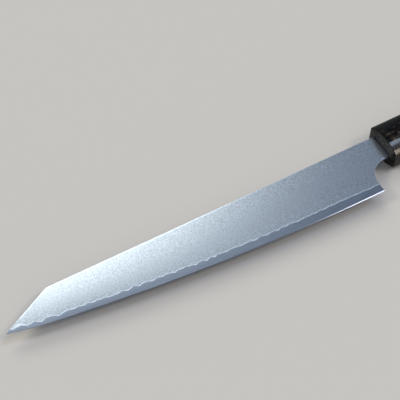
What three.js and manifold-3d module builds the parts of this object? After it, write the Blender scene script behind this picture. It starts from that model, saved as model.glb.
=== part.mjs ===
// A slicing and carving knife with a clipped point, in millimetres, +Z up.
// The knife lies on its side: the blade is level and the handle's lower facet is on Z = 0.
// +X runs from the tip to the butt, and +Y from the cutting edge to the spine.
// The pieces are drawn around the mouth of the handle: X = 0 on its front face, Y = 0 on its axis and
// Z = 0 on the blade's middle plane. At the end the whole knife is set down on its lower facet.
import * as THREE from "three";
import { mergeVertices } from "three/addons/utils/BufferGeometryUtils.js";
import Module from "manifold-3d";

const wasm = await Module();
wasm.setup();

// Outline of the blade
const BLADE_LENGTH = 255; // heel to tip, along the knife
const HEEL_HEIGHT = 41; // edge to spine, at the heel
const HEEL_DROP = 30.85; // edge at the heel, below the handle's axis
const NECK_LENGTH = 20; // heel to the handle's front face
const EDGE_RADIUS = 1500; // long curve of the edge, level at the heel
const EDGE_CURVE_LENGTH = 226; // how far that curve runs ahead of the heel
const TIP_RISE = 23.4; // tip above the level of the heel
const CLIP_LENGTH = 33.5; // slanted back of the point, along the knife
const CLIP_ROUNDING = 3; // length of each side that the corner on the spine rounds off
const HEEL_BACK = 6.3; // straight back of the heel, below the choil's arc
const CHOIL_RADIUS = 15.5; // hollow between heel and neck

// Tang inside the handle
const TANG_LENGTH = 105;
const TANG_HEIGHT = 12; // at the mouth
const TANG_END_HEIGHT = 7;
const TANG_END_ROUNDING = 2;

// Layers of the blade and how they are ground
const CORE_THICKNESS = 0.7;
const FOIL_THICKNESS = 0.05;
const SPINE_THICKNESS = 2.2; // from the handle to the heel
const POINT_THICKNESS = 1.5; // the same faces carried on to the tip
const EDGE_LAND = 0.04; // flat that is left on the cutting edge
const HONED_HEIGHT = 0.8; // small final bevel above the edge
const HONED_THICKNESS = 0.3; // blade thickness at the top of that bevel
const CLADDING_STEP = 0.1; // cladding thickness where it ends above the core

// Bare core steel above the edge, up to a wavy line of uneven scallops
const CORE_SHOWN_AT_HEEL = 6.2;
const CORE_SHOWN_AT_TIP = 3.1;
const FOIL_SHOWN = 0.6; // width of the bright line
const SCALLOP_LENGTH = 9.6;
const SCALLOP_HEIGHT = 1.1;
const SCALLOPS_FULL_FROM = 60; // distance ahead of the heel at which they reach their full height
const SCALLOP_CALM = 0.2; // share of that height at the heel
const SCALLOP_DRIFTS = [
  [43, 0.9, 1.0],
  [27, 0.6, 2.2],
]; // [length, turn, phase] of the slow waves that make the scallops uneven

// Handle
const HANDLE_LENGTH = 140;
const HANDLE_HEIGHT = 28.2; // at the front
const BUTT_HEIGHT = 29.5;
const HANDLE_THICKNESS = 20.2;
const FACE_FACET = 10.2; // width of the two facets level with the blade's faces
const EDGE_FACET = 12.2; // width of the two facets above the spine and below the edge
const MOUTH_CHAMFER = 0.9;
const BUTT_CHAMFER = 1.5;
const FERRULE_LENGTH = 28;
const FERRULE_WALL = 4; // solid front of the ferrule, which only the tang's slot passes
const BORE_RADIUS = 7.2;
const BORE_END = 126;
const DOWEL_END = 122;

// Clearance between neighbours that aren't drawn on the same plane
const FIT_GAP = 0.3;

// Steps along curves
const EDGE_STEPS = 30;
const LINE_STEPS = 210;
const ROUND_SIDES = 32;

// Places that follow from those sizes
const HEEL_X = -NECK_LENGTH;
const HEEL_Y = -HEEL_DROP;
const TIP_X = HEEL_X - BLADE_LENGTH;
const SPINE_Y = HEEL_Y + HEEL_HEIGHT;
const NECK_Y = HEEL_Y + HEEL_BACK + CHOIL_RADIUS;
const SHOULDER_X = -FIT_GAP;
const FOIL_Z = CORE_THICKNESS / 2;
const CLADDING_Z = FOIL_Z + FOIL_THICKNESS;
const WAVE_REACH = SCALLOP_HEIGHT / 2;
const PAST = 4; // how far a cutting body runs past what it cuts

// Height of the cutting edge above the level of the heel, at a distance ahead of the heel.
function edgeRise(ahead) {
  const curve = THREE.MathUtils.clamp(ahead, 0, EDGE_CURVE_LENGTH);
  const point = Math.max(ahead - EDGE_CURVE_LENGTH, 0);
  const pointLength = BLADE_LENGTH - EDGE_CURVE_LENGTH;
  const slope = EDGE_CURVE_LENGTH / EDGE_RADIUS;
  const curveRise = EDGE_CURVE_LENGTH ** 2 / (2 * EDGE_RADIUS);
  const upturn = (TIP_RISE - curveRise - slope * pointLength) / pointLength ** 2;
  return curve ** 2 / (2 * EDGE_RADIUS) + slope * point + upturn * point ** 2;
}

// Share of the way from heel to tip, from 0 to 1.
function alongBlade(ahead) {
  return THREE.MathUtils.clamp(ahead / BLADE_LENGTH, 0, 1);
}

// Mean height of bare core steel above the edge.
function coreShown(ahead) {
  return THREE.MathUtils.lerp(CORE_SHOWN_AT_HEEL, CORE_SHOWN_AT_TIP, alongBlade(ahead));
}

// Height of the wavy line over its mean: round crests and sharp dips, calm at the heel.
function wave(ahead) {
  const strength = THREE.MathUtils.clamp(ahead / SCALLOPS_FULL_FROM, SCALLOP_CALM, 1);
  let turn = (Math.PI * ahead) / SCALLOP_LENGTH;
  for (const [length, drift, phase] of SCALLOP_DRIFTS) {
    turn += drift * Math.sin((2 * Math.PI * ahead) / length + phase);
  }
  return strength * (SCALLOP_HEIGHT * Math.abs(Math.sin(turn)) - WAVE_REACH);
}

// A three.js geometry as a solid that can be cut and joined.
function solidFrom(geometry) {
  const bare = geometry.clone();
  bare.deleteAttribute("normal");
  bare.deleteAttribute("uv");
  const welded = mergeVertices(bare);
  const vertProperties = new Float32Array(welded.attributes.position.array);
  const triVerts = new Uint32Array(welded.index.array);
  return new wasm.Manifold(new wasm.Mesh({ numProp: 3, vertProperties, triVerts }));
}

// A cut or joined solid as a three.js geometry.
function geometryFrom(solid) {
  const { vertProperties, triVerts } = solid.getMesh();
  const geometry = new THREE.BufferGeometry();
  geometry.setAttribute("position", new THREE.BufferAttribute(vertProperties, 3));
  geometry.setIndex(new THREE.BufferAttribute(triVerts, 1));
  geometry.computeVertexNormals();
  return geometry;
}

// A flat outline with thickness, between two heights.
function plate(outline, bottom, top) {
  const geometry = new THREE.ExtrudeGeometry(outline, { depth: top - bottom, bevelEnabled: false });
  return solidFrom(geometry.translate(0, 0, bottom));
}

// A closed body through cross-sections [x, [[y, z], ...]], anticlockwise about +X and in order of x.
function loft(sections) {
  const count = sections[0][1].length;
  const positions = sections.flatMap(([x, corners]) => corners.flatMap(([y, z]) => [x, y, z]));
  const faces = [];
  for (let start = 0; start < count * (sections.length - 1); start += count) {
    for (let corner = 0; corner < count; corner += 1) {
      const here = start + corner;
      const next = start + ((corner + 1) % count);
      faces.push(here, next, here + count);
      faces.push(next, next + count, here + count);
    }
  }
  const last = count * (sections.length - 1);
  const cap = sections[0][1].map(([y, z]) => new THREE.Vector2(y, z));
  for (const [a, b, c] of THREE.ShapeUtils.triangulateShape(cap, [])) {
    faces.push(a, c, b);
    faces.push(last + a, last + b, last + c);
  }
  const geometry = new THREE.BufferGeometry();
  geometry.setAttribute("position", new THREE.Float32BufferAttribute(positions, 3));
  geometry.setIndex(faces);
  return solidFrom(geometry);
}

// A round bar along the handle's axis.
function roundBar(radius, start, end) {
  const bar = new THREE.CylinderGeometry(radius, radius, end - start, ROUND_SIDES);
  return solidFrom(bar.rotateZ(Math.PI / 2).translate((start + end) / 2, 0, 0));
}

// A box between two lengths along the handle, of a given height and between two levels.
function block(start, end, height, bottom, top) {
  const box = new THREE.BoxGeometry(end - start, height, top - bottom);
  return solidFrom(box.translate((start + end) / 2, 0, (bottom + top) / 2));
}

// Side view of the blade with neck, shoulders and tang.
function bladeOutline() {
  const outline = new THREE.Shape();
  outline.moveTo(HEEL_X, HEEL_Y);
  for (let step = 1; step <= EDGE_STEPS; step += 1) {
    const ahead = (BLADE_LENGTH * step) / EDGE_STEPS;
    outline.lineTo(HEEL_X - ahead, HEEL_Y + edgeRise(ahead));
  }
  const corner = new THREE.Vector2(TIP_X + CLIP_LENGTH, SPINE_Y);
  const clip = new THREE.Vector2(TIP_X, HEEL_Y + TIP_RISE).sub(corner).setLength(CLIP_ROUNDING);
  outline.lineTo(corner.x + clip.x, corner.y + clip.y);
  outline.quadraticCurveTo(corner.x, corner.y, corner.x + CLIP_ROUNDING, corner.y);
  outline.lineTo(SHOULDER_X, SPINE_Y);
  outline.lineTo(SHOULDER_X, TANG_HEIGHT / 2);
  outline.lineTo(TANG_LENGTH - TANG_END_ROUNDING, TANG_END_HEIGHT / 2);
  outline.lineTo(TANG_LENGTH, TANG_END_HEIGHT / 2 - TANG_END_ROUNDING);
  outline.lineTo(TANG_LENGTH, TANG_END_ROUNDING - TANG_END_HEIGHT / 2);
  outline.lineTo(TANG_LENGTH - TANG_END_ROUNDING, -TANG_END_HEIGHT / 2);
  outline.lineTo(SHOULDER_X, -TANG_HEIGHT / 2);
  outline.lineTo(SHOULDER_X, NECK_Y);
  outline.absarc(HEEL_X + CHOIL_RADIUS, NECK_Y - CHOIL_RADIUS, CHOIL_RADIUS, Math.PI / 2, Math.PI);
  return outline;
}

// Everything below the wavy line, raised by a margin: what is ground away from a layer above the core.
function groundAway(margin) {
  const outline = new THREE.Shape();
  outline.moveTo(HEEL_X + PAST, HEEL_Y - PAST);
  for (let step = 0; step <= LINE_STEPS; step += 1) {
    const ahead = THREE.MathUtils.lerp(-PAST, BLADE_LENGTH + PAST, step / LINE_STEPS);
    const line = edgeRise(ahead) + coreShown(ahead) + wave(ahead) + margin;
    outline.lineTo(HEEL_X - ahead, HEEL_Y + line);
  }
  outline.lineTo(TIP_X - PAST, HEEL_Y - PAST);
  return plate(outline, -PAST, PAST);
}

// A ground blade: one cross-section per station, from ahead of the tip to behind the tang.
function grind(sectionAt) {
  const stations = [];
  for (let step = EDGE_STEPS; step >= 0; step -= 1) {
    stations.push(((BLADE_LENGTH + PAST) * step) / EDGE_STEPS);
  }
  stations.push(-NECK_LENGTH - TANG_LENGTH - PAST);
  return loft(stations.map((ahead) => [HEEL_X - ahead, sectionAt(ahead)]));
}

// Cross-section of the core: edge land, honed bevel and long bevel. Above those it is wider than the core,
// whose own faces are parallel.
function coreSection(ahead) {
  const edge = HEEL_Y + edgeRise(ahead);
  const bevelTop = edge + coreShown(ahead) - WAVE_REACH;
  const lower = [
    [SPINE_Y + PAST, -CORE_THICKNESS],
    [bevelTop + PAST, -CORE_THICKNESS],
    [bevelTop, -CORE_THICKNESS / 2],
    [edge + HONED_HEIGHT, -HONED_THICKNESS / 2],
    [edge, -EDGE_LAND / 2],
    [edge - PAST, -EDGE_LAND / 2],
  ];
  const upper = lower.map(([y, z]) => [y, -z]).reverse();
  return [...lower, ...upper].reverse();
}

// Cross-section of the upper face: one straight slope from the end of the cladding to the spine.
function faceSection(ahead) {
  const lineY = HEEL_Y + edgeRise(ahead) + coreShown(ahead);
  const lineZ = CLADDING_Z + CLADDING_STEP;
  const spineZ = THREE.MathUtils.lerp(SPINE_THICKNESS, POINT_THICKNESS, alongBlade(ahead)) / 2;
  const slope = (spineZ - lineZ) / (SPINE_Y - lineY);
  const low = lineY - WAVE_REACH - FOIL_SHOWN;
  const high = SPINE_Y + PAST;
  return [
    [low, 0],
    [high, 0],
    [high, lineZ + slope * (high - lineY)],
    [low, lineZ + slope * (low - lineY)],
  ];
}

// Hard core layer, from the cutting edge to the spine, with the middle of the tang.
function bladeCore() {
  const layer = plate(bladeOutline(), -CORE_THICKNESS / 2, CORE_THICKNESS / 2);
  return layer.intersect(grind(coreSection));
}

// Thin bright layer that bonds the upper cladding to the core.
function bondFoil() {
  return plate(bladeOutline(), FOIL_Z, CLADDING_Z).subtract(groundAway(0));
}

// Softer outer layer of the upper face.
function cladding() {
  const layer = plate(bladeOutline(), CLADDING_Z, SPINE_THICKNESS);
  return layer.subtract(groundAway(FOIL_SHOWN)).intersect(grind(faceSection));
}

// Octagon of a given height, with all its facets drawn in by an inset.
function octagon(height, inset) {
  const run = (height - FACE_FACET) / 2;
  const drop = (HANDLE_THICKNESS - EDGE_FACET) / 2;
  const slant = Math.hypot(run, drop);
  const corners = [
    [height / 2 - inset, EDGE_FACET / 2 - (inset * (slant - drop)) / run],
    [FACE_FACET / 2 - (inset * (slant - run)) / drop, HANDLE_THICKNESS / 2 - inset],
  ];
  const mirrored = corners.map(([y, z]) => [-y, z]).reverse();
  const half = [...corners, ...mirrored];
  return [...half, ...half.map(([y, z]) => [-y, -z])];
}

// Height of the handle at a distance behind its front face.
function handleHeight(x) {
  return THREE.MathUtils.lerp(HANDLE_HEIGHT, BUTT_HEIGHT, x / HANDLE_LENGTH);
}

// Front of the handle, with the tang's slot in its wall and the dowel's bore behind it.
function ferrule() {
  const shell = loft([
    [0, octagon(handleHeight(0), MOUTH_CHAMFER)],
    [MOUTH_CHAMFER, octagon(handleHeight(MOUTH_CHAMFER), 0)],
    [FERRULE_LENGTH, octagon(handleHeight(FERRULE_LENGTH), 0)],
  ]);
  const slotThickness = SPINE_THICKNESS + 2 * FIT_GAP;
  const slotHeight = TANG_HEIGHT + 2 * FIT_GAP;
  const slot = block(-PAST, FERRULE_WALL + PAST, slotHeight, -slotThickness / 2, slotThickness / 2);
  return shell.subtract(slot).subtract(roundBar(BORE_RADIUS, FERRULE_WALL, FERRULE_LENGTH + PAST));
}

// Grip behind the ferrule, with a blind bore and a chamfered butt.
function handleBody() {
  const grip = loft([
    [FERRULE_LENGTH, octagon(handleHeight(FERRULE_LENGTH), 0)],
    [HANDLE_LENGTH - BUTT_CHAMFER, octagon(handleHeight(HANDLE_LENGTH - BUTT_CHAMFER), 0)],
    [HANDLE_LENGTH, octagon(handleHeight(HANDLE_LENGTH), BUTT_CHAMFER)],
  ]);
  return grip.subtract(roundBar(BORE_RADIUS, FERRULE_LENGTH - PAST, BORE_END));
}

// Half-round liner that lies in the bore on the tang's upper face.
function dowelHalf() {
  const start = FERRULE_WALL + FIT_GAP;
  const bar = roundBar(BORE_RADIUS - FIT_GAP, start, DOWEL_END);
  const flat = SPINE_THICKNESS / 2 + FIT_GAP;
  return bar.intersect(block(start - PAST, DOWEL_END + PAST, 2 * BORE_RADIUS, flat, BORE_RADIUS));
}

// Cast resin between the two liners: a flat fork around the tang's edges and end.
function tangAdhesive() {
  const start = FERRULE_WALL + FIT_GAP;
  const half = BORE_RADIUS - 2 * FIT_GAP;
  const mouth = TANG_HEIGHT / 2 + FIT_GAP;
  const end = TANG_END_HEIGHT / 2 + FIT_GAP;
  const fork = new THREE.Shape();
  fork.moveTo(start, half);
  fork.lineTo(start, mouth);
  fork.lineTo(TANG_LENGTH + FIT_GAP, end);
  fork.lineTo(TANG_LENGTH + FIT_GAP, -end);
  fork.lineTo(start, -mouth);
  fork.lineTo(start, -half);
  fork.lineTo(DOWEL_END, -half);
  fork.lineTo(DOWEL_END, half);
  return plate(fork, -SPINE_THICKNESS / 2, SPINE_THICKNESS / 2);
}

const coreSteel = new THREE.MeshStandardMaterial({ color: "#8f9cab", roughness: 0.3, metalness: 1 });
const blastedSteel = new THREE.MeshStandardMaterial({ color: "#b9c4cf", roughness: 0.45, metalness: 1 });
const brightFoil = new THREE.MeshStandardMaterial({ color: "#e6edf2", roughness: 0.2, metalness: 1 });
const darkBurl = new THREE.MeshStandardMaterial({ color: "#2a2624", roughness: 0.25, metalness: 0 });
const darkWood = new THREE.MeshStandardMaterial({ color: "#2f2621", roughness: 0.3, metalness: 0 });
const paleWood = new THREE.MeshStandardMaterial({ color: "#c9a878", roughness: 0.7, metalness: 0 });
const castResin = new THREE.MeshStandardMaterial({ color: "#d8c9a0", roughness: 0.4, metalness: 0 });

const pieces = new THREE.Group();

// One named piece of the knife.
function addPiece(name, solid, material) {
  const piece = new THREE.Mesh(geometryFrom(solid), material);
  piece.name = name;
  pieces.add(piece);
  return piece;
}

// A piece on the upper face and its mirror image on the lower one.
function addPair(name, solid, material) {
  addPiece(`${name}_upper`, solid, material);
  addPiece(`${name}_lower`, solid, material).scale.z = -1;
}

addPiece("blade_core", bladeCore(), coreSteel);
addPair("bond_foil", bondFoil(), brightFoil);
addPair("cladding", cladding(), blastedSteel);
addPiece("ferrule", ferrule(), darkBurl);
addPiece("handle_body", handleBody(), darkWood);
addPair("dowel_half", dowelHalf(), paleWood);
addPiece("tang_adhesive", tangAdhesive(), castResin);

// The knife set down with the middle of its base at the origin.
const extent = new THREE.Box3().setFromObject(pieces);
const middle = extent.getCenter(new THREE.Vector3());
pieces.position.set(-middle.x, -middle.y, -extent.min.z);

const carvingKnife = new THREE.Group();
carvingKnife.add(pieces);

export default carvingKnife;
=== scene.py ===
"""A slicing and carving knife with a clipped point: its looks, its studio and its camera.

Sizes are millimetres in the knife's own frame, in which the CAD solids are drawn too: X = 0 on the handle's
front face with +X towards the butt, Y = 0 on the handle's axis with +Y towards the spine, and Z = 0 on the
middle plane of the blade. Every mesh is set into the row frame, in metres, as it is made.
"""

import logging
import math
from collections.abc import Callable, Sequence
from dataclasses import dataclass
from enum import Enum

import bmesh
import bpy
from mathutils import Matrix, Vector, noise


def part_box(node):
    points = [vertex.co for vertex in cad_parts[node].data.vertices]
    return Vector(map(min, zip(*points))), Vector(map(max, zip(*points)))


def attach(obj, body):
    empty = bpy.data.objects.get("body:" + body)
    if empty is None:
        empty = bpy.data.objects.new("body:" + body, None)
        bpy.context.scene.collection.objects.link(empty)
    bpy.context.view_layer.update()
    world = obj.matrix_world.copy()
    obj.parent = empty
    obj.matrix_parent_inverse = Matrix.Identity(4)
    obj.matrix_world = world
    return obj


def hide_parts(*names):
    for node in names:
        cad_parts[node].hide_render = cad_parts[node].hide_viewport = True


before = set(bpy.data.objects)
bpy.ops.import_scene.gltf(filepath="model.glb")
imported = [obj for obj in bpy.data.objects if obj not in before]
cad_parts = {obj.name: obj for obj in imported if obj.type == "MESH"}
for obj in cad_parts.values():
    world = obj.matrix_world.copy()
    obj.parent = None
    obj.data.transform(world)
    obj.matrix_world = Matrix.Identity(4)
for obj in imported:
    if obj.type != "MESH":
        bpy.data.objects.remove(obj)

LOG = logging.getLogger("carving_knife")
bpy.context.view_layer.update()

MM = 0.001  # metres in a millimetre
BODY = "root"  # nothing on this knife moves, so the frame has one body
WELD = 1e-7  # metres; points nearer than this are one point
TINY = 1e-7  # millimetres at which a search stops, and the least divisor
ROUNDED = 28.0  # degrees; on a piece with rounded corners, only a steeper ridge is crisp
GROUND = 4.0  # degrees; the same on a piece with ground bevels

# How the noise of finishes and clad line is read
OCTAVE_SHARE = 0.55  # strength of each finer octave beside the one before
NOISE_MIDDLE = 0.5
NOISE_RANGE = (0.3, 0.7)  # values that the noise mostly keeps to
TONE_REACH = 0.25  # distance from the middle value at which a tone is full
NOISE_LEVEL = 0.5  # halfway between the planes of the noise's grid

# Finer octaves in each pattern
PLAIN_OCTAVES = 2.0
GRAIN_OCTAVES = 1.0
STOCK_OCTAVES = 4.0
FIGURE_OCTAVES = 5.0

# Steps along curves
BEVEL_STEPS = 5
CHOIL_STEPS = 24
NECK_STEPS = 4
TANG_STEPS = 8
EASED_STEPS = 5
BUFFED_STEPS = 6
FACET_STEPS = 8
CORNER_STEPS = 5
MOUTH_STEPS = 6
BUTT_STEPS = 7
SLOT_STEPS = 2
FERRULE_STEPS = 4
GRIP_STEPS = 9
QUARTER_STEPS = 2 * (CORNER_STEPS + 1) + FACET_STEPS + 2  # of each ring round the handle

Span = tuple[float, float]  # low and high end
Plan = tuple[float, float]  # place on the blade's plan
Row = tuple[float, float]  # share of a column's height, and distance beyond that
Point = tuple[float, float, float]
Face = tuple[int, ...]
Colour = tuple[float, float, float, float]


class Side(Enum):
    """Which face of the blade a layer lies on."""

    UPPER = 1
    LOWER = -1


class Zone(Enum):
    """Stretch of the blade that a column of its grid belongs to."""

    BLADE = "ahead of the heel"
    CHOIL = "round the choil"
    NECK = "at the neck"
    TANG = "inside the handle"


class Unevenness(Enum):
    """Row of the noise that each unevenness of the clad line follows, so that no two are alike."""

    RIPPLE = 0.5
    WANDER = 3.5
    DEPTH = 7.5


def linear(hex_code: str) -> Colour:
    """Turns an sRGB hex colour into linear RGBA.

    Args:
        hex_code: Colour such as "#8f9cab".

    Returns:
        Linear red, green and blue, and an alpha of 1.
    """
    shares = [int(hex_code[start : start + 2], 16) / 255 for start in (1, 3, 5)]
    red, green, blue = (
        share / 12.92 if share <= 0.04045 else ((share + 0.055) / 1.055) ** 2.4 for share in shares
    )
    return red, green, blue, 1.0


def per_metre(size_mm: float) -> float:
    """Texture scale, in cells to the metre, of a pattern whose cells measure size_mm."""
    return 1 / (size_mm * MM)


def mix(start: float, end: float, share: float) -> float:
    """Value that lies a share of the way from start to end."""
    return start + (end - start) * share


def clamp(value: float, low: float = 0.0, high: float = 1.0) -> float:
    """Value held between two bounds."""
    return max(low, min(high, value))


def even_shares(count: int, past: int = 0) -> list[float]:
    """Shares from 0 to 1 in so many equal steps, with both ends and any steps past the end."""
    return [index / count for index in range(count + past + 1)]


def smooth(share: float) -> float:
    """Share that begins and ends gently."""
    return share**2 * (3 - 2 * share)


def quarter_turns(count: int) -> list[float]:
    """Angles of a quarter turn in equal steps, with both its ends."""
    return [math.pi / 2 * share for share in even_shares(count)]


def quarter_round(radius: float, count: int) -> list[tuple[float, float]]:
    """Points of a rounded corner, by their distances from the one face and from the other."""
    return [(radius * (1 - math.cos(turn)), radius * (1 - math.sin(turn))) for turn in quarter_turns(count)]


def add_node(
    tree: bpy.types.NodeTree,
    kind: str,
    links: dict[str | int, bpy.types.NodeSocket] | None = None,
    values: dict[str | int, object] | None = None,
    stops: Sequence[tuple[float, str]] = (),
    **settings: object,
) -> bpy.types.Node:
    """Adds one node with its settings and links.

    Args:
        tree: Node tree that it goes into.
        kind: Type of the node.
        links: Output socket that feeds each named input.
        values: Plain value of each named input.
        stops: Places and hex colours of a colour ramp.
        **settings: Properties of the node itself.

    Returns:
        The new node.
    """
    node = tree.nodes.new(kind)
    for name, value in settings.items():
        setattr(node, name, value)
    for name, value in (values or {}).items():
        node.inputs[name].default_value = value
    for name, socket in (links or {}).items():
        tree.links.new(socket, node.inputs[name])
    for index, (place, hex_code) in enumerate(stops):
        ramp = node.color_ramp.elements
        stop = ramp[index] if index < len(ramp) else ramp.new(place)
        stop.position = place
        stop.color = linear(hex_code)
    return node


@dataclass(frozen=True)
class Finish:
    """What a surface is made of and how it was worked."""

    name: str
    slot: str

    def material(self) -> bpy.types.Material:
        """Makes the Blender material.

        Returns:
            A material whose shader this finish has drawn.
        """
        made = bpy.data.materials.new(self.name)
        made.use_nodes = True
        tree = made.node_tree
        tree.nodes.clear()
        shader = add_node(tree, "ShaderNodeBsdfPrincipled")
        add_node(tree, "ShaderNodeOutputMaterial", {"Surface": shader.outputs["BSDF"]})
        self.draw(tree, shader)
        return made

    def draw(self, tree: bpy.types.NodeTree, shader: bpy.types.Node) -> None:
        """Draws the pattern into the shader; each finish has its own."""
        raise NotImplementedError

    @staticmethod
    def pattern(
        tree: bpy.types.NodeTree,
        cell_mm: float,
        stretch: float = 1.0,
        octaves: float = PLAIN_OCTAVES,
        warp: bpy.types.NodeSocket | None = None,
    ) -> bpy.types.NodeSocket:
        """Noise of a real cell size, fixed to the piece.

        Args:
            tree: Node tree that it goes into.
            cell_mm: Size of its cells across the knife.
            stretch: How many times longer the cells are along the knife.
            octaves: Number of finer octaves.
            warp: Coordinates to use in place of the piece's own.

        Returns:
            The noise as a value about 0.5.
        """
        place = warp or add_node(tree, "ShaderNodeTexCoord").outputs["Object"]
        drawn = add_node(tree, "ShaderNodeMapping", {"Vector": place}, {"Scale": (1 / stretch, 1, 1)})
        cells = add_node(
            tree,
            "ShaderNodeTexNoise",
            {"Vector": drawn.outputs["Vector"]},
            {"Scale": per_metre(cell_mm), "Detail": octaves, "Roughness": OCTAVE_SHARE},
        )
        return cells.outputs["Fac"]

    @staticmethod
    def surface(
        tree: bpy.types.NodeTree,
        shader: bpy.types.Node,
        colour: bpy.types.Node,
        grain: bpy.types.NodeSocket,
        relief_mm: float,
        roughness: Span | None = None,
    ) -> None:
        """Gives the shader its colour, the relief of its grain and a roughness that may follow the grain.

        Args:
            tree: The material's node tree.
            shader: Its Principled shader.
            colour: Colour ramp of the surface.
            grain: Pattern that stands out of the surface.
            relief_mm: How far it stands out.
            roughness: Least and most along the grain, or None where it is even.
        """
        relief = {"Strength": 1.0, "Distance": relief_mm * MM}
        bump = add_node(tree, "ShaderNodeBump", {"Height": grain}, relief)
        tree.links.new(colour.outputs["Color"], shader.inputs["Base Color"])
        tree.links.new(bump.outputs["Normal"], shader.inputs["Normal"])
        if roughness:
            (low, high), (least, most) = NOISE_RANGE, roughness
            reach = {"From Min": low, "From Max": high, "To Min": least, "To Max": most}
            rough = add_node(tree, "ShaderNodeMapRange", {"Value": grain}, reach)
            tree.links.new(rough.outputs["Result"], shader.inputs["Roughness"])


@dataclass(frozen=True)
class Steel(Finish):
    """Bare steel: two tones of a mottled grain, with a roughness and a relief that follow the grain."""

    dark: str
    light: str
    mottle_mm: float
    mottle_share: float  # strength of the mottle beside the grain
    grain_mm: float
    grain_stretch: float
    roughness: Span  # least and most along the grain
    relief_mm: float

    def draw(self, tree: bpy.types.NodeTree, shader: bpy.types.Node) -> None:
        """Draws mottle, grain and relief.

        Args:
            tree: The material's node tree.
            shader: Its Principled shader.
        """
        mottle = self.pattern(tree, self.mottle_mm, self.grain_stretch)
        grain = self.pattern(tree, self.grain_mm, self.grain_stretch, GRAIN_OCTAVES)
        both = add_node(
            tree, "ShaderNodeMath", {0: mottle, 2: grain}, {1: self.mottle_share}, operation="MULTIPLY_ADD"
        )
        middle = (1 + self.mottle_share) * NOISE_MIDDLE
        reach = {"From Min": middle - TONE_REACH, "From Max": middle + TONE_REACH}
        tone = add_node(tree, "ShaderNodeMapRange", {"Value": both.outputs[0]}, reach)
        stops = [(0.0, self.dark), (1.0, self.light)]
        colour = add_node(tree, "ShaderNodeValToRGB", {"Fac": tone.outputs["Result"]}, stops=stops)
        shader.inputs["Metallic"].default_value = 1.0
        self.surface(tree, shader, colour, grain, self.relief_mm, self.roughness)


# Bead-blasted soft stainless: a matt, bluish satin with a fine sparkle. Blasting dimples are finer than this
# grain; they are drawn coarser, so that the sparkle still shows in a picture of the whole knife.
BLASTED_STAINLESS = Steel(
    name="bead_blasted_stainless",
    slot="cladding_steel",
    dark="#949ead",
    light="#ccd9ec",
    mottle_mm=2.0,
    mottle_share=0.08,
    grain_mm=0.6,
    grain_stretch=1.0,
    roughness=(0.28, 0.3),
    relief_mm=0.002,
)

# Ground and stropped high-carbon stainless: darker than the cladding and flatter, with faint lines along the
# edge. The lines are drawn coarser than a real polishing scratch, which is too fine to show.
GROUND_CORE_STEEL = Steel(
    name="ground_core_steel",
    slot="core_steel",
    dark="#8a96ab",
    light="#919eb4",
    mottle_mm=1.2,
    mottle_share=1.0,
    grain_mm=0.45,
    grain_stretch=14.0,
    roughness=(0.28, 0.31),
    relief_mm=0.0004,
)

# Nickel from the bond between core and cladding: the palest metal here, so it reads as a bright line.
NICKEL_BOND = Steel(
    name="nickel_bond_line",
    slot="bond_foil",
    dark="#bfcddf",
    light="#d2dff2",
    mottle_mm=1.1,
    mottle_share=0.6,
    grain_mm=0.5,
    grain_stretch=1.0,
    roughness=(0.36, 0.44),
    relief_mm=0.001,
)


@dataclass(frozen=True)
class StabilisedWood(Finish):
    """Wood soaked in clear resin, sanded and buffed: swirling figure under a gloss with sanding streaks, and
    painted shade on its spine side.
    """

    ground: str
    middle: str
    figure: str
    fleck: str
    figure_mm: float
    stretch: float
    swirl_mm: float
    swirl_depth_mm: float
    streak_mm: float
    streak_relief_mm: float
    painted_spine_shade: float  # painted shade: how much the figure is darkened on the spine side, whose facets lie in shade
    painted_spine_shade_mm: Span = (12.0, 14.5)  # where that begins and is full, in the row frame
    tones: tuple[float, ...] = (0.40, 0.54, 0.64, 0.76)  # values of the figure at which each colour is full
    streak_stretch: float = 18.0
    roughness: Span = (0.10, 0.25)  # least and most along the streaks
    shine: float = 0.2  # specular level of the resin

    def draw(self, tree: bpy.types.NodeTree, shader: bpy.types.Node) -> None:
        """Draws figure, flecks and streaks, with painted shade darkening the spine side.

        Args:
            tree: The material's node tree.
            shader: Its Principled shader.
        """
        place = add_node(tree, "ShaderNodeTexCoord").outputs["Object"]
        cells = {"Scale": per_metre(self.swirl_mm), "Detail": PLAIN_OCTAVES}
        swirl = add_node(tree, "ShaderNodeTexNoise", {"Vector": place}, cells).outputs["Color"]
        middle = (NOISE_MIDDLE,) * 3
        centred = add_node(tree, "ShaderNodeVectorMath", {0: swirl}, {1: middle}, operation="SUBTRACT")
        moved = add_node(
            tree,
            "ShaderNodeVectorMath",
            {0: centred.outputs["Vector"], 2: place},
            {1: (self.swirl_depth_mm * MM,) * 3},
            operation="MULTIPLY_ADD",
        )
        figure = self.pattern(tree, self.figure_mm, self.stretch, FIGURE_OCTAVES, moved.outputs["Vector"])
        # Painted shade: the figure is darkened towards the spine side, whose facets lie in shade
        across = add_node(tree, "ShaderNodeSeparateXYZ", {"Vector": place})
        begins, full = self.painted_spine_shade_mm
        reach = {"From Min": begins * MM, "From Max": full * MM, "To Max": self.painted_spine_shade}
        painted_shade = add_node(tree, "ShaderNodeMapRange", {"Value": across.outputs["Y"]}, reach)
        figure_under_painted_shade = add_node(
            tree, "ShaderNodeMath", {0: figure, 1: painted_shade.outputs["Result"]}, operation="SUBTRACT"
        )
        stops = list(zip(self.tones, (self.ground, self.middle, self.figure, self.fleck)))
        colour = add_node(tree, "ShaderNodeValToRGB", {"Fac": figure_under_painted_shade.outputs[0]}, stops=stops)
        streak = self.pattern(tree, self.streak_mm, self.streak_stretch)
        shader.inputs["Specular IOR Level"].default_value = self.shine
        self.surface(tree, shader, colour, streak, self.streak_relief_mm, self.roughness)


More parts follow.
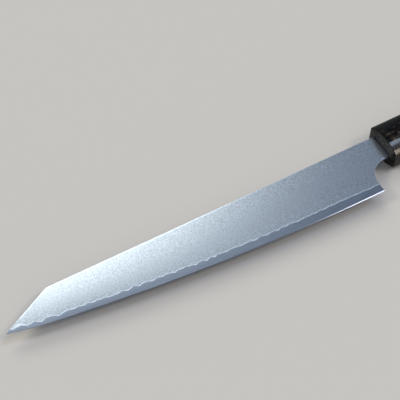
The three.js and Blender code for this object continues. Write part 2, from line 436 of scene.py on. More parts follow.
# Dyed and stabilised burl, buffed: nearly black, with grey-brown swirls and a few tan flecks.
DYED_BURL = StabilisedWood(
    name="dyed_stabilised_burl",
    slot="ferrule_burl",
    ground="#0a0908",
    middle="#1d1a18",
    figure="#3b3632",
    fleck="#6a5f55",
    figure_mm=2.6,
    stretch=1.8,
    swirl_mm=5.0,
    swirl_depth_mm=5.0,
    streak_mm=2.2,
    streak_relief_mm=0.10,
    # painted shade on the spine-side facets
    painted_spine_shade=0.14,
)

# Stabilised dark wood, buffed: long brown-black figure along the grip.
DARK_WOOD = StabilisedWood(
    name="dark_stabilised_wood",
    slot="handle_wood",
    ground="#100c0a",
    middle="#241b16",
    figure="#40322a",
    fleck="#6e5a48",
    figure_mm=2.4,
    stretch=5.0,
    swirl_mm=14.0,
    swirl_depth_mm=8.0,
    streak_mm=2.4,
    streak_relief_mm=0.045,
    # painted shade on the spine-side facets
    painted_spine_shade=0.05,
)


@dataclass(frozen=True)
class PlainStock(Finish):
    """Unpolished stock inside the handle: a soft grain in two tones, with a little relief."""

    dark: str
    light: str
    grain_mm: float
    stretch: float
    roughness: float
    relief_mm: float
    tones: Span = (0.35, 0.65)  # values of the grain at which the two tones are full

    def draw(self, tree: bpy.types.NodeTree, shader: bpy.types.Node) -> None:
        """Draws the grain.

        Args:
            tree: The material's node tree.
            shader: Its Principled shader.
        """
        grain = self.pattern(tree, self.grain_mm, self.stretch, STOCK_OCTAVES)
        stops = list(zip(self.tones, (self.dark, self.light)))
        colour = add_node(tree, "ShaderNodeValToRGB", {"Fac": grain}, stops=stops)
        shader.inputs["Roughness"].default_value = self.roughness
        self.surface(tree, shader, colour, grain, self.relief_mm)


# Turned magnolia: pale, matt, with long fine grain.
TURNED_MAGNOLIA = PlainStock(
    name="turned_magnolia",
    slot="dowel_wood",
    dark="#b8935f",
    light="#d6b98a",
    grain_mm=0.8,
    stretch=16.0,
    roughness=0.7,
    relief_mm=0.05,
)

# Cast epoxy: honey-coloured, with faint clouds where it set.
CAST_EPOXY = PlainStock(
    name="cast_epoxy",
    slot="tang_resin",
    dark="#cbb988",
    light="#e0d3ae",
    grain_mm=3.0,
    stretch=1.0,
    roughness=0.35,
    relief_mm=0.01,
)


def make_piece(
    name: str,
    points: Sequence[Point],
    faces: Sequence[Face],
    mouth: Vector,
    finish: Finish,
    crisp_from: float = ROUNDED,
) -> bpy.types.Object:
    """Makes one closed piece of the knife and fixes it to the frame.

    Args:
        name: Name of the piece.
        points: Its points in the knife's own frame, in millimetres.
        faces: Its faces, anticlockwise seen from outside.
        mouth: Middle of the handle's front face in the row frame.
        finish: What its surface is.
        crisp_from: Angle in degrees from which a ridge is crisp.

    Returns:
        The new object.
    """
    mesh = bpy.data.meshes.new(name)
    mesh.from_pydata([mouth + Vector(point) * MM for point in points], [], faces)
    shape = bmesh.new()
    shape.from_mesh(mesh)
    bmesh.ops.remove_doubles(shape, verts=shape.verts, dist=WELD)
    bmesh.ops.dissolve_degenerate(shape, edges=shape.edges, dist=WELD)
    shape.to_mesh(mesh)
    shape.free()
    mesh.shade_smooth()
    mesh.set_sharp_from_angle(angle=math.radians(crisp_from))
    mesh.materials.append(finish.material())
    piece = bpy.data.objects.new(name, mesh)
    bpy.context.scene.collection.objects.link(piece)
    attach(piece, BODY)
    LOG.info("%s: %d faces, %s", name, len(mesh.polygons), finish.name)
    return piece


@dataclass(frozen=True)
class Column:
    """A line of grid points across the blade, from its lower to its upper end."""

    zone: Zone
    ahead: float
    low: Vector
    high: Vector


@dataclass
class Layer:
    """A closed layer of the blade on a grid: columns from the point to the tang, rows from edge to spine."""

    plan: list[list[Plan]]
    top: list[list[float]]
    bottom: list[list[float]]
    filled: Callable[[int, int], bool]

    def solid(self, side: Side) -> tuple[list[Point], list[Face]]:
        """Closes the layer with its two faces and a wall around them.

        Args:
            side: Face of the blade that it lies on.

        Returns:
            Points and faces of the closed layer.
        """
        points: list[Point] = []
        numbers: dict[tuple[int, int, bool], int] = {}
        faces: list[Face] = []

        def number(spot: tuple[int, int], is_top: bool) -> int:
            """Number of the point at a grid spot, which is made when it is first asked for.

            Args:
                spot: Column and row.
                is_top: Whether the point is on the top and not on the bottom.

            Returns:
                Its place in the list of points.
            """
            key = (*spot, is_top)
            if key not in numbers:
                column, row = spot
                level = (self.top if is_top else self.bottom)[column][row]
                numbers[key] = len(points)
                points.append((*self.plan[column][row], level * side.value))
            return numbers[key]

        for column in range(len(self.plan) - 1):
            for row in range(len(self.plan[column]) - 1):
                if not self.filled(column, row):
                    continue
                ring = [(column, row), (column + 1, row), (column + 1, row + 1), (column, row + 1)]
                around = [(column, row - 1), (column + 1, row), (column, row + 1), (column - 1, row)]
                faces.append(tuple(number(spot, True) for spot in ring))
                faces.append(tuple(number(spot, False) for spot in reversed(ring)))
                for index, neighbour in enumerate(around):
                    if not self.has(*neighbour):
                        here, there = ring[index], ring[(index + 1) % len(ring)]
                        down = number(here, True), number(here, False)
                        up = number(there, False), number(there, True)
                        faces.append((*down, *up))
        if side is Side.LOWER:
            faces = [tuple(reversed(face)) for face in faces]
        return points, faces

    def has(self, column: int, row: int) -> bool:
        """Whether the grid has a filled cell there."""
        inside = 0 <= column < len(self.plan) - 1 and 0 <= row < len(self.plan[0]) - 1
        return inside and self.filled(column, row)


@dataclass
class Blade:
    """Three-layer blade: hard core, bright bond lines and soft claddings, ground to one face on each side."""

    mouth: Vector
    length: float = 255.0
    heel_height: float = 41.0
    heel_drop: float = 30.85  # edge at the heel, below the handle's axis
    neck_length: float = 20.0
    edge_radius: float = 1500.0
    edge_curve: float = 226.0  # how far that curve runs ahead of the heel
    tip_rise: float = 23.4  # tip above the edge at the heel
    clip_length: float = 33.5  # of the slanted back of the point
    clip_rounding: float = 0.9
    heel_back: float = 6.3  # height of the heel's straight back, below the choil
    choil_radius: float = 15.5
    shoulder_gap: float = 0.3  # between the neck's end and the handle
    tang_length: float = 105.0
    tang_height: float = 12.0
    tang_end_height: float = 7.0
    spine_thickness: float = 2.2
    point_thickness: float = 1.5
    point_thinning: float = 0.5  # how much thinner than that taper the point ends
    thinned_from: float = 212.0  # distance ahead of the heel
    edge_land: float = 0.04
    honed_at_heel: float = 0.6  # height of the small final bevel
    honed_ahead: float = 0.15
    honed_even_from: float = 110.0  # distance ahead of the heel from which that height is even
    behind_edge_heel: float = 0.6  # thickness above the honed bevel
    behind_edge_tip: float = 0.4
    belly_at_heel: float = -0.2  # 0 is a flat face from edge to spine, 1 one that ends level at the spine
    belly_ahead: float = 1.9
    belly_full_from: float = 215.0
    core_at_heel: float = 6.15  # mean height of bare core above the edge
    core_at_tip: float = 2.3
    line_width: float = 0.54
    bond_rows: tuple[float, ...] = (0.0, 0.25, 0.5, 0.9, 1.4)  # distances above the core's border
    line_swell: float = 1.3  # how much wider the bright line is where it runs out at the point
    swell_at: float = 246.5  # distance ahead of the heel
    swell_reach: float = 3.0
    scallop_length: float = 8.6
    scallop_height: float = 1.5
    scallop_mean: float = 0.8  # mean share of that height, from scallop to scallop
    scallop_group: float = 1.7  # length over which that share changes, in scallops
    scallop_cusp: float = 0.2  # rounding of the cusps between scallops
    scallop_middle: float = 0.6  # level of a scallop that lies on the core's mean border
    scallop_calm: float = 0.3  # share of the height near the heel
    scallops_calm_to: float = 42.0  # distance ahead of the heel
    scallops_full_from: float = 54.0
    scallop_drifts: tuple[tuple[float, float, float], ...] = ((43.0, 0.7, 1.0), (27.0, 0.4, 2.2))
    ripple_length: float = 1.9  # of the finer waves on the scallops
    ripple_height: float = 0.75
    wander_length: float = 30.0  # of the slow rise and fall of the whole line
    wander_height: float = 0.9
    easing: float = 0.3  # radius of the eased corners along spine and point
    easing_share: float = 0.5  # most of the cladding's thickness that such a corner takes
    softened_width: float = 1.4  # gentle roll of the face towards those corners
    softened_depth: float = 0.16
    softened_share: float = 0.3  # most of the cladding's thickness that the roll takes
    softened_growth: int = 4  # power with which the roll grows along the blade
    softened_full_from: float = 140.0  # distance ahead of the heel; behind that, the roll fades away
    buffed_width: float = 1.3  # corner of choil and neck, buffed softer towards the handle
    buffed_at_heel: float = 0.04
    buffed_at_neck: float = 0.45
    buffed_growth: int = 5  # power with which the buffing grows along the choil
    full_easing_from: float = 10.0  # height of the cladding from which its corners are eased in full
    step: float = 0.4  # distance between columns
    tang_row: float = 0.5  # share of a column's height at which a hidden row runs along the tang
    face_rows: tuple[float, ...] = (0.3, 0.45, 0.6)  # the same on a cladding
    upper_row: float = 0.9  # the same above the tang

    @property
    def heel_x(self) -> float:
        """Place of the heel along the knife."""
        return -self.neck_length

    @property
    def spine_y(self) -> float:
        """Level of the spine."""
        return self.heel_height - self.heel_drop

    @property
    def neck_y(self) -> float:
        """Level of the neck's underside."""
        return self.heel_back + self.choil_radius - self.heel_drop

    def edge_y(self, ahead: float) -> float:
        """Level of the cutting edge: a long arc, then a quicker curve up to the tip.

        Args:
            ahead: Distance ahead of the heel.

        Returns:
            Height in the knife's frame.
        """
        curve = clamp(ahead, 0.0, self.edge_curve)
        point = max(ahead - self.edge_curve, 0.0)
        point_length = self.length - self.edge_curve
        slope = self.edge_curve / self.edge_radius
        curve_rise = self.edge_curve**2 / (2 * self.edge_radius)
        upturn = (self.tip_rise - curve_rise - slope * point_length) / point_length**2
        rise = curve**2 / (2 * self.edge_radius) + slope * point + upturn * point**2
        return rise - self.heel_drop

    def top_y(self, ahead: float) -> float:
        """Level of the spine, or of the slanted back of the point, with a soft corner between them.

        Args:
            ahead: Distance ahead of the heel.

        Returns:
            Height in the knife's frame.
        """
        slope = (self.heel_height - self.tip_rise) / self.clip_length
        before = self.length - self.clip_length - ahead
        if before >= self.clip_rounding:
            return self.spine_y
        if before <= -self.clip_rounding:
            return self.spine_y + slope * before
        return self.spine_y - slope * (self.clip_rounding - before) ** 2 / (4 * self.clip_rounding)

    def line_y(self, ahead: float) -> float:
        """Level at which the core ends: uneven scallops with a finer ripple, calm at the heel.

        Args:
            ahead: Distance ahead of the heel.

        Returns:
            Height in the knife's frame.
        """
        shown = mix(self.core_at_heel, self.core_at_tip, clamp(ahead / self.length) ** 2)
        reach = self.scallops_full_from - self.scallops_calm_to
        strength = mix(self.scallop_calm, 1.0, clamp((ahead - self.scallops_calm_to) / reach))
        turn = math.pi * ahead / self.scallop_length
        for length, drift, phase in self.scallop_drifts:
            turn += drift * math.sin(2 * math.pi * ahead / length + phase)
        group = self.scallop_group * self.scallop_length
        depth = self.scallop_height * (self.scallop_mean + self.uneven(Unevenness.DEPTH, ahead / group))
        scallop = depth * (math.hypot(math.sin(turn), self.scallop_cusp) - self.scallop_middle)
        ripple = self.ripple_height * self.uneven(Unevenness.RIPPLE, ahead / self.ripple_length)
        wander = self.wander_height * self.uneven(Unevenness.WANDER, ahead / self.wander_length)
        return self.edge_y(ahead) + shown + wander + strength * (scallop + ripple)

    @staticmethod
    def uneven(row: Unevenness, lengths: float) -> float:
        """Smooth noise about 0, after a number of its own lengths."""
        return noise.noise(Vector((lengths, row.value, NOISE_LEVEL)))

    def half_thickness(self, ahead: float, y: float) -> float:
        """Distance of the ground face from the middle plane.

        Args:
            ahead: Distance ahead of the heel.
            y: Level in the knife's frame.

        Returns:
            Half of the blade's thickness there.
        """
        above = y - self.edge_y(ahead)
        top = self.honed_height(ahead)
        honed = mix(self.behind_edge_heel, self.behind_edge_tip, clamp(ahead / self.length)) / 2
        if above < top:
            return mix(self.edge_land / 2, honed, max(above, 0.0) / top)
        taper = mix(self.spine_thickness, self.point_thickness, clamp(ahead / self.length))
        thinned = clamp((ahead - self.thinned_from) / (self.length - self.thinned_from))
        spine = (taper - self.point_thinning * thinned) / 2
        share = (above - top) / (self.spine_y - self.edge_y(ahead) - top)
        grown = clamp(ahead / self.belly_full_from)
        belly = mix(self.belly_at_heel, self.belly_ahead, smooth(grown))
        return mix(honed, spine, share + belly * share * (1 - share))

    def honed_height(self, ahead: float) -> float:
        """Height of the honed bevel, at a distance ahead of the heel."""
        return mix(self.honed_at_heel, self.honed_ahead, clamp(ahead / self.honed_even_from))

    def tang_half(self, x: float) -> float:
        """Half of the tang's height, at a distance inside the handle."""
        return mix(self.tang_height, self.tang_end_height, clamp(x / self.tang_length)) / 2

    def columns(self, low_y: Callable[[float], float]) -> list[Column]:
        """Grid columns of a layer, from where it begins at the point to the end of the tang.

        Args:
            low_y: Level of the layer's lower border, at a distance ahead of the heel.

        Returns:
            The columns in order along the knife.
        """
        near, far = self.length - self.clip_length, self.length
        while far - near > TINY:
            half = (near + far) / 2
            near, far = (half, far) if low_y(half) < self.top_y(half) else (near, half)
        made: list[Column] = []
        for share in even_shares(round(near / self.step)):
            ahead = near * (1 - share)
            x = self.heel_x - ahead
            top = self.top_y(ahead)
            made.append(Column(Zone.BLADE, ahead, Vector((x, min(low_y(ahead), top))), Vector((x, top))))
        return made + self.back_columns()

    def back_columns(self) -> list[Column]:
        """Columns behind the heel, which all layers share.

        Returns:
            Columns round the choil, at the neck and along the tang.
        """
        made: list[Column] = []
        for share in even_shares(CHOIL_STEPS)[1:]:
            angle = share * math.pi / 2
            low_x = self.heel_x + self.choil_radius * (1 - math.cos(angle))
            low_y = self.neck_y - self.choil_radius * (1 - math.sin(angle))
            high = Vector((self.heel_x + self.choil_radius * share, self.spine_y))
            made.append(Column(Zone.CHOIL, 0.0, Vector((low_x, low_y)), high))
        start, end = self.heel_x + self.choil_radius, -self.shoulder_gap
        for share in even_shares(NECK_STEPS)[1:]:
            x = mix(start, end, share)
            made.append(Column(Zone.NECK, 0.0, Vector((x, self.neck_y)), Vector((x, self.spine_y))))
        for share in even_shares(TANG_STEPS)[1:]:
            x = mix(end, self.tang_length, share)
            half = self.tang_half(x)
            made.append(Column(Zone.TANG, 0.0, Vector((x, -half)), Vector((x, half))))
        return made

    def tang_shares(self) -> Span:
        """Shares of the neck's height at which the tang's lower and upper edge run out of it."""
        height = self.spine_y - self.neck_y
        return (-self.tang_height / 2 - self.neck_y) / height, (self.tang_height / 2 - self.neck_y) / height

    def hidden_rows(self) -> tuple[float, ...]:
        """Shares of a column's height at which the rows under the cladding lie."""
        low, high = self.tang_shares()
        return low, self.tang_row, high, 1.0

    def in_tang(self, rows: Sequence[float], first: int = 0) -> range:
        """Numbers, counted from first, of the rows that lie between the tang's edges."""
        low, high = self.tang_shares()
        return range(first + rows.index(low), first + rows.index(high))

    def spread(self, column: Column, rows: Sequence[Row]) -> list[Plan]:
        """Grid points of one column.

        Args:
            column: The column.
            rows: Share of the column's height and distance beyond that, for each row.

        Returns:
            Plan points from the lower to the upper end.
        """
        along = column.high - column.low
        if column.zone is Zone.TANG:
            low, high = self.tang_shares()
            return [tuple(column.low + along * ((share - low) / (high - low))) for share, _ in rows]
        small = self.smallness(along.length)
        unit = along.normalized() if along.length else along
        return [tuple(column.low + along * share + unit * beyond * small) for share, beyond in rows]

    def smallness(self, height: float) -> float:
        """Share of the easing that fits a column of that height."""
        return min(1.0, height / self.full_easing_from)

    def build(self) -> None:
        """Builds the core, the two bond lines and the two claddings."""
        self.build_core()
        for side in Side:
            self.build_bond(side)
            self.build_cladding(side)

    def build_core(self) -> None:
        """Builds the core: honed edge, long bevel, and the layer hidden up to the spine and in the tang."""
        strip = even_shares(BEVEL_STEPS)
        upper = self.hidden_rows()
        line_row = len(strip)
        plan: list[list[Plan]] = []
        top: list[list[float]] = []
        columns = self.columns(self.edge_y)
        for column in columns:
            x = column.low.x
            if column.zone is Zone.BLADE:
                line = min(self.line_y(column.ahead), column.high.y)
                honed = min(self.honed_height(column.ahead), (line - column.low.y) * strip[1])
            else:
                line, honed = column.low.y, 0.0
            start = column.low.y + honed
            bevel = [(x, mix(start, line, share)) for share in strip]
            hidden = Column(column.zone, column.ahead, Vector((x, line)), column.high)
            above = self.spread(hidden, [(share, 0) for share in upper])
            spots = [(x, column.low.y), *bevel, *above]
            level = self.half_thickness(column.ahead, line if column.zone is Zone.BLADE else self.line_y(0.0))
            ground = [self.half_thickness(column.ahead, y) for _, y in spots[: line_row + 1]]
            plan.append(spots)
            top.append(ground + [level] * len(upper))
        bottom = [[-level for level in levels] for levels in top]
        zones = [column.zone for column in columns]
        tang_rows = self.in_tang(upper, line_row + 1)

        def filled(column: int, row: int) -> bool:
            """Whether the core has a cell there: bevel only on the blade, and less height in the tang."""
            zone = zones[column + 1]
            return zone is Zone.BLADE if row < line_row else zone is not Zone.TANG or row in tang_rows

        points, faces = Layer(plan, top, bottom, filled).solid(Side.UPPER)
        core = make_piece("ground_core", points, faces, self.mouth, GROUND_CORE_STEEL, GROUND)
        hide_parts("blade_core")

    def bond_y(self, ahead: float) -> float:
        """Level at which the bright line ends and the cladding begins."""
        swell = math.exp(-(((ahead - self.swell_at) / self.swell_reach) ** 2))
        return self.line_y(ahead) + self.line_width + self.line_swell * swell

    def bond_top(self, ahead: float) -> float:
        """Distance of the cladding's underside from the middle plane."""
        return self.half_thickness(ahead, self.bond_y(ahead))

    def bond_under(self, ahead: float) -> float:
        """Distance of the bond line's underside from the middle plane."""
        return self.half_thickness(ahead, self.line_y(ahead))

    def ledge_level(self, column: Column, _: Vector) -> float:
        """Level of the bond line's face, a flat ledge that runs on under the cladding."""
        return self.bond_top(column.ahead)

    def lay(
        self,
        low_y: Callable[[float], float],
        rows: Sequence[Row],
        under: Callable[[float], float],
        face: Callable[[Column, Vector], float],
    ) -> Layer:
        """Lays a bond line or a cladding over its grid.

        Args:
            low_y: Level of its lower border, at a distance ahead of the heel.
            rows: Share of a column's height and distance beyond that, for each row.
            under: Distance of its underside from the middle plane, at a distance ahead of the heel.
            face: Distance of its face from the middle plane, in a column and at a plan point.

        Returns:
            The layer, not yet closed.
        """
        columns = self.columns(low_y)
        plan = [self.spread(column, rows) for column in columns]
        bottom = [[under(column.ahead)] * len(rows) for column in columns]
        top = [[face(column, Vector(spot)) for spot in spots] for column, spots in zip(columns, plan)]
        zones = [column.zone for column in columns]
        tang_rows = self.in_tang([share for share, _ in rows])

        def filled(column: int, row: int) -> bool:
            """Whether the layer has a cell there."""
            return zones[column + 1] is not Zone.TANG or row in tang_rows

        return Layer(plan, top, bottom, filled)

    def build_bond(self, side: Side) -> None:
        """Builds a bond line: bare between core and cladding, then hidden under the cladding.

        Args:
            side: Face of the blade that it lies on.
        """
        rows = [(0.0, above) for above in self.bond_rows] + [(share, 0.0) for share in self.hidden_rows()]
        layer = self.lay(self.line_y, rows, self.bond_under, self.ledge_level)
        name = side.name.lower()
        bond = make_piece(f"bond_line_{name}", *layer.solid(side), self.mouth, NICKEL_BOND)
        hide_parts(f"bond_foil_{name}")

    def build_cladding(self, side: Side) -> None:
        """Builds a cladding: it feathers out at the bond line and has eased corners everywhere else.

        Args:
            side: Face of the blade that it lies on.
        """
        low, high = self.tang_shares()
        eased = [out for out, _ in quarter_round(self.easing, EASED_STEPS)]
        shares = even_shares(EASED_STEPS, past=1)[1:]
        eased += [mix(self.easing, self.softened_width, share) for share in shares]
        buffed = [self.buffed_width * share for share in even_shares(BUFFED_STEPS, past=1)]
        middle = (low, *self.face_rows, high, self.upper_row)
        rows = [(0.0, out) for out in buffed] + [(share, 0.0) for share in middle]
        rows += [(1.0, -out) for out in reversed(eased)]
        layer = self.lay(self.bond_y, rows, self.bond_top, self.eased_level)
        name = side.name.lower()
        cladding = make_piece(f"blasted_cladding_{name}", *layer.solid(side), self.mouth, BLASTED_STAINLESS)
        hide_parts(f"cladding_{name}")

    def eased_level(self, column: Column, spot: Vector) -> float:
        """Level of the cladding's face, lowered where a corner is eased.

        Args:
            column: Column of the grid.
            spot: Plan point in that column.

        Returns:
            Distance from the middle plane.
        """
        under = self.bond_top(column.ahead)
        face = max(self.half_thickness(column.ahead, spot.y), under)
        if column.zone is Zone.TANG:
            return face
        small = self.smallness((column.high - column.low).length)
        radius = min(self.easing * small, self.easing_share * (face - under))
        distance = (column.high - spot).length
        level = face - self.rounding(distance, radius)
        grown = clamp(column.ahead / self.softened_full_from)
        full = self.softened_depth * grown**self.softened_growth * small
        roll = min(full, self.softened_share * (face - under))
        level -= roll * max(1 - distance / (self.softened_width * max(small, TINY)), 0.0) ** 2
        if column.zone is not Zone.BLADE:
            along = clamp((column.low.x - self.heel_x) / self.choil_radius)
            depth = mix(self.buffed_at_heel, self.buffed_at_neck, along**self.buffed_growth)
            level -= depth * max(1 - (spot - column.low).length / self.buffed_width, 0.0) ** 2
        return max(level, under)

    @staticmethod
    def rounding(distance: float, radius: float) -> float:
        """Drop of a rounded corner.

        Args:
            distance: Distance from the corner's edge.
            radius: Its radius.

        Returns:
            How far the face lies below its full level there.
        """
        if distance >= radius:
            return 0.0
        return radius - math.sqrt(radius**2 - (radius - distance) ** 2)


@dataclass
class Handle:
    """Octagonal handle: a burl ferrule that takes the tang, and a grip behind it."""

    mouth: Vector
    length: float = 140.0
    height: float = 28.2
    butt_height: float = 29.5
    thickness: float = 20.2
    face_facet: float = 10.2
    edge_facet: float = 12.2
    arris: float = 0.7  # radius of the long corners
    mouth_rounding: float = 0.4
    mouth_hold: float = 1.2  # place of the ring behind that corner, in roundings
    butt_rounding: float = 1.5
    butt_end: float = 2.0  # length of the grip that is left for that corner
    ferrule_length: float = 28.0
    wall: float = 4.0  # thickness of the ferrule's front, in which the slot is
    bore_radius: float = 7.2
    bore_end: float = 126.0
    slot_height: float = 12.6
    slot_thickness: float = 2.8
    seam: float = 0.12  # depth and width of the fine groove at the joint
    crown: float = 0.22  # swell in the middle of a slanted facet
    hold: float = 0.08  # share of half a flat facet, beside its corner, that a line of points holds flat

    def height_at(self, x: float) -> float:
        """Height of the handle, at a distance behind its front face."""
        return mix(self.height, self.butt_height, x / self.length)

    def octagon(self, x: float, inset: float) -> list[Point]:
        """Ring of points around the handle, with its long corners rounded.

        Args:
            x: Distance behind the front face.
            inset: How far all facets are drawn in.

        Returns:
            Points, anticlockwise about +X.
        """
        height = self.height_at(x)
        run = (height - self.face_facet) / 2
        drop = (self.thickness - self.edge_facet) / 2
        slant = math.hypot(run, drop)
        start = Vector((height / 2 - inset, 0.0))
        side = Vector((start.x, self.edge_facet / 2 - inset * (slant - drop) / run))
        face = Vector((self.face_facet / 2 - inset * (slant - run) / drop, self.thickness / 2 - inset))
        end = Vector((0.0, face.y))
        first, second = self.corner(start, side, face), self.corner(side, face, end)
        out = Vector((drop, run)) / slant
        shares = even_shares(FACET_STEPS)[1:-1]
        between = [
            first[-1].lerp(second[0], share) + out * 4 * self.crown * share * (1 - share) for share in shares
        ]
        holds = [first[0].lerp(start, self.hold), second[-1].lerp(end, self.hold)]
        return self.all_round(x, [start, holds[0], *first, *between, *second, holds[1], end])

    def corner(self, before: Vector, tip: Vector, after: Vector) -> list[Vector]:
        """Points round one long corner of the octagon.

        Args:
            before: Point before the corner.
            tip: The corner itself.
            after: Point after it.

        Returns:
            Points from one facet to the next.
        """
        into, out = (tip - before).normalized(), (after - tip).normalized()
        reach = self.arris * math.tan(into.angle(out) / 2)
        start, end = tip - into * reach, tip + out * reach
        shares = even_shares(CORNER_STEPS)
        return [start.lerp(tip, share).lerp(tip.lerp(end, share), share) for share in shares]

    def bore(self, x: float) -> list[Point]:
        """Ring of points round the bore, at a distance behind the front face."""
        circle = [Vector((math.cos(turn), math.sin(turn))) for turn in quarter_turns(QUARTER_STEPS)]
        return self.all_round(x, [spot * self.bore_radius for spot in circle])

    def slot(self, x: float) -> list[Point]:
        """Ring of points round the tang's slot.

        Args:
            x: Distance behind the front face.

        Returns:
            Points, anticlockwise about +X.
        """
        corner = Vector((self.slot_height / 2, self.slot_thickness / 2))
        rise = [Vector((corner.x, corner.y * share)) for share in even_shares(SLOT_STEPS)]
        left = even_shares(QUARTER_STEPS - SLOT_STEPS)[1:]
        back = [Vector((corner.x * (1 - share), corner.y)) for share in left]
        return self.all_round(x, rise + back)

    @staticmethod
    def all_round(x: float, quarter: Sequence[Vector]) -> list[Point]:
        """Whole ring, anticlockwise about +X, from its quarter between the +Y and the +Z axis."""
        turned = [(quarter, 1, 1), (quarter[::-1], -1, 1), (quarter, -1, -1), (quarter[::-1], 1, -1)]
        return [(x, spot.x * y, spot.y * z) for part, y, z in turned for spot in part[:-1]]

    def rounded_mouth(self) -> list[list[Point]]:
        """Rings of the rounded corner at the front face, from that face backwards."""
        rings = [self.octagon(run, inset) for run, inset in quarter_round(self.mouth_rounding, MOUTH_STEPS)]
        return [*rings, self.octagon(self.mouth_hold * self.mouth_rounding, 0.0)]

    def rounded_butt(self) -> list[list[Point]]:
        """Rings of the rounded corner at the butt, from the grip backwards."""
        corner = quarter_round(self.butt_rounding, BUTT_STEPS)
        return [self.octagon(self.length - left, inset) for inset, left in corner]

    @staticmethod
    def skin(rings: Sequence[Sequence[Point]], is_closed: bool) -> tuple[list[Point], list[Face]]:
        """Joins rings into a closed skin.

        Args:
            rings: Rings of equal length, in order along the outside.
            is_closed: Whether the last ring joins the first; otherwise both are capped.

        Returns:
            Points and faces of the skin.
        """
        count = len(rings[0])
        points = [point for ring in rings for point in ring]
        faces: list[Face] = []
        for index in range(len(rings) if is_closed else len(rings) - 1):
            here, there = index * count, (index + 1) % len(rings) * count
            for corner in range(count):
                following = (corner + 1) % count
                faces.append((here + corner, here + following, there + following, there + corner))
        if not is_closed:
            last = len(points) - count
            faces.append(tuple(reversed(range(count))))
            faces.append(tuple(range(last, last + count)))
        return points, faces

    def build(self) -> None:
        """Builds the ferrule and the grip."""
        joint = self.ferrule_length
        rings = self.rounded_mouth()
        rings += [self.octagon(joint * share, 0.0) for share in even_shares(FERRULE_STEPS)[1:-1]]
        rings += [self.octagon(joint - self.seam, 0.0), self.octagon(joint, self.seam)]
        rings += [self.bore(joint), self.bore(self.wall), self.slot(self.wall), self.slot(0.0)]
        ferrule = make_piece("burl_ferrule", *self.skin(rings, True), self.mouth, DYED_BURL)
        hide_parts("ferrule")
        rings = [self.bore(self.bore_end), self.bore(joint), self.octagon(joint, self.seam)]
        start, end = joint + self.seam, self.length - self.butt_end
        rings += [self.octagon(mix(start, end, share), 0.0) for share in even_shares(GRIP_STEPS)]
        rings += self.rounded_butt()
        grip = make_piece("octagonal_grip", *self.skin(rings, False), self.mouth, DARK_WOOD)
        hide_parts("handle_body")


@dataclass
class TangFixing:
    """What holds the tang in the bore: two half-round liners and a resin fork, which keep their CAD shape."""

    liners: tuple[str, ...] = ("dowel_half_upper", "dowel_half_lower")
    resin: str = "tang_adhesive"

    def dress(self) -> None:
        """Gives the carried-over solids their finishes."""
        for node in self.liners:
            self.finish_node(node, TURNED_MAGNOLIA)
        self.finish_node(self.resin, CAST_EPOXY)

    @staticmethod
    def finish_node(node: str, finish: Finish) -> None:
        """Puts a finish on one CAD node.

        Args:
            node: Name of the node.
            finish: What its surface is.
        """
        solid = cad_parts[node]
        solid.material_slots[0].material = finish.material()
        LOG.info("%s: CAD solid, %s", node, finish.name)


@dataclass(frozen=True)
class SoftLight:
    """A round soft light, far away."""

    name: str
    towards: Point  # direction from the knife to the light
    width_deg: float
    strength: float
    colour: str

    def hang(self) -> None:
        """Adds the light to the scene."""
        lamp = bpy.data.lights.new(self.name, "SUN")
        lamp.energy = self.strength
        lamp.angle = math.radians(self.width_deg)
        lamp.color = linear(self.colour)[:3]
        light = bpy.data.objects.new(self.name, lamp)
        light.rotation_euler = Vector(self.towards).to_track_quat("Z", "Y").to_euler()
        bpy.context.scene.collection.objects.link(light)


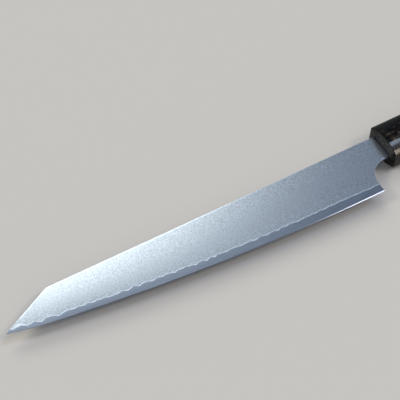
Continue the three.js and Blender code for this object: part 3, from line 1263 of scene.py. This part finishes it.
@dataclass
class Studio:
    """Pale floor, grey walls with a darker opening, soft lights behind, beside and above, and the camera."""

    floor_colour: str = "#d0cfcd"
    floor_width: float = 60.0  # metres
    floor_roughness: float = 0.9
    floor_shine: float = 0.2  # specular level of matt paper
    wall: str = "#a4a6aa"
    opening: str = "#5e697a"  # a darker opening in the walls, which the blade mirrors near its heel
    opening_towards: Point = (0.45, 0.62, 0.64)
    opening_edge: Span = (0.74, 0.86)  # cosines of the angles at which it begins and is full
    lights: tuple[SoftLight, ...] = (
        SoftLight("window_light", (0.120, 0.706, 0.698), 34.0, 0.80, "#fdfbec"),
        SoftLight("side_window_light", (-0.70, 0.25, 0.67), 18.0, 0.8, "#fff2d8"),
        # One cool and one warm, which the near slanted facet of the handle mirrors as two bands
        SoftLight("overhead_light_left", (0.50, -0.09, 0.86), 11.5, 0.56, "#d2e3ff"),
        SoftLight("overhead_light_right", (0.50, -0.38, 0.77), 11.5, 0.56, "#ffeedd"),
    )
    camera_place: Point = (-263.93, -326.38, 545.39)  # millimetres in the row frame
    camera_down_deg: float = 52.5
    camera_turn_deg: float = -29.778
    lens: float = 94.5
    sensor: float = 36.0

    def build(self) -> None:
        """Builds the floor, the surroundings, the lights and the camera."""
        self.lay_floor()
        self.surround()
        for light in self.lights:
            light.hang()
        self.place_camera()
        bpy.context.scene.view_settings.view_transform = "Standard"

    def lay_floor(self) -> None:
        """Lays a matt floor under the knife."""
        half = self.floor_width / 2
        mesh = bpy.data.meshes.new("floor")
        corners = [(-half, -half, 0), (half, -half, 0), (half, half, 0), (-half, half, 0)]
        mesh.from_pydata(corners, [], [(0, 1, 2, 3)])
        paint = bpy.data.materials.new("matt_paper")
        paint.use_nodes = True
        shader = paint.node_tree.nodes["Principled BSDF"]
        shader.inputs["Base Color"].default_value = linear(self.floor_colour)
        shader.inputs["Roughness"].default_value = self.floor_roughness
        shader.inputs["Specular IOR Level"].default_value = self.floor_shine
        mesh.materials.append(paint)
        floor = bpy.data.objects.new("floor", mesh)
        bpy.context.scene.collection.objects.link(floor)

    def surround(self) -> None:
        """Surrounds the scene with grey walls that have one darker opening."""
        world = bpy.data.worlds.new("studio_walls")
        world.use_nodes = True
        tree = world.node_tree
        tree.nodes.clear()
        towards = add_node(tree, "ShaderNodeTexCoord").outputs["Generated"]
        share = add_node(
            tree, "ShaderNodeVectorMath", {0: towards}, {1: self.opening_towards}, operation="DOT_PRODUCT"
        )
        stops = list(zip(self.opening_edge, (self.wall, self.opening)))
        colour = add_node(tree, "ShaderNodeValToRGB", {"Fac": share.outputs["Value"]}, stops=stops)
        light = add_node(tree, "ShaderNodeBackground", {"Color": colour.outputs["Color"]})
        add_node(tree, "ShaderNodeOutputWorld", {"Surface": light.outputs["Background"]})
        bpy.context.scene.world = world

    def place_camera(self) -> None:
        """Places the camera at the photograph's viewing angle."""
        lens = bpy.data.cameras.new("photo_camera")
        lens.lens = self.lens
        lens.sensor_width = self.sensor
        camera = bpy.data.objects.new("photo_camera", lens)
        camera.location = Vector(self.camera_place) * MM
        tilt, turn = math.radians(90 - self.camera_down_deg), math.radians(self.camera_turn_deg)
        camera.rotation_euler = (tilt, 0.0, turn)
        bpy.context.scene.collection.objects.link(camera)
        bpy.context.scene.camera = camera


def main() -> None:
    """Builds the knife and its studio in order."""
    logging.basicConfig(level=logging.INFO, format="%(name)s: %(message)s")
    low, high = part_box("ferrule")
    mouth = Vector((low.x, (low.y + high.y) / 2, (low.z + high.z) / 2))
    Studio().build()
    Blade(mouth).build()
    Handle(mouth).build()
    TangFixing().dress()


if __name__ == "__main__":
    main()
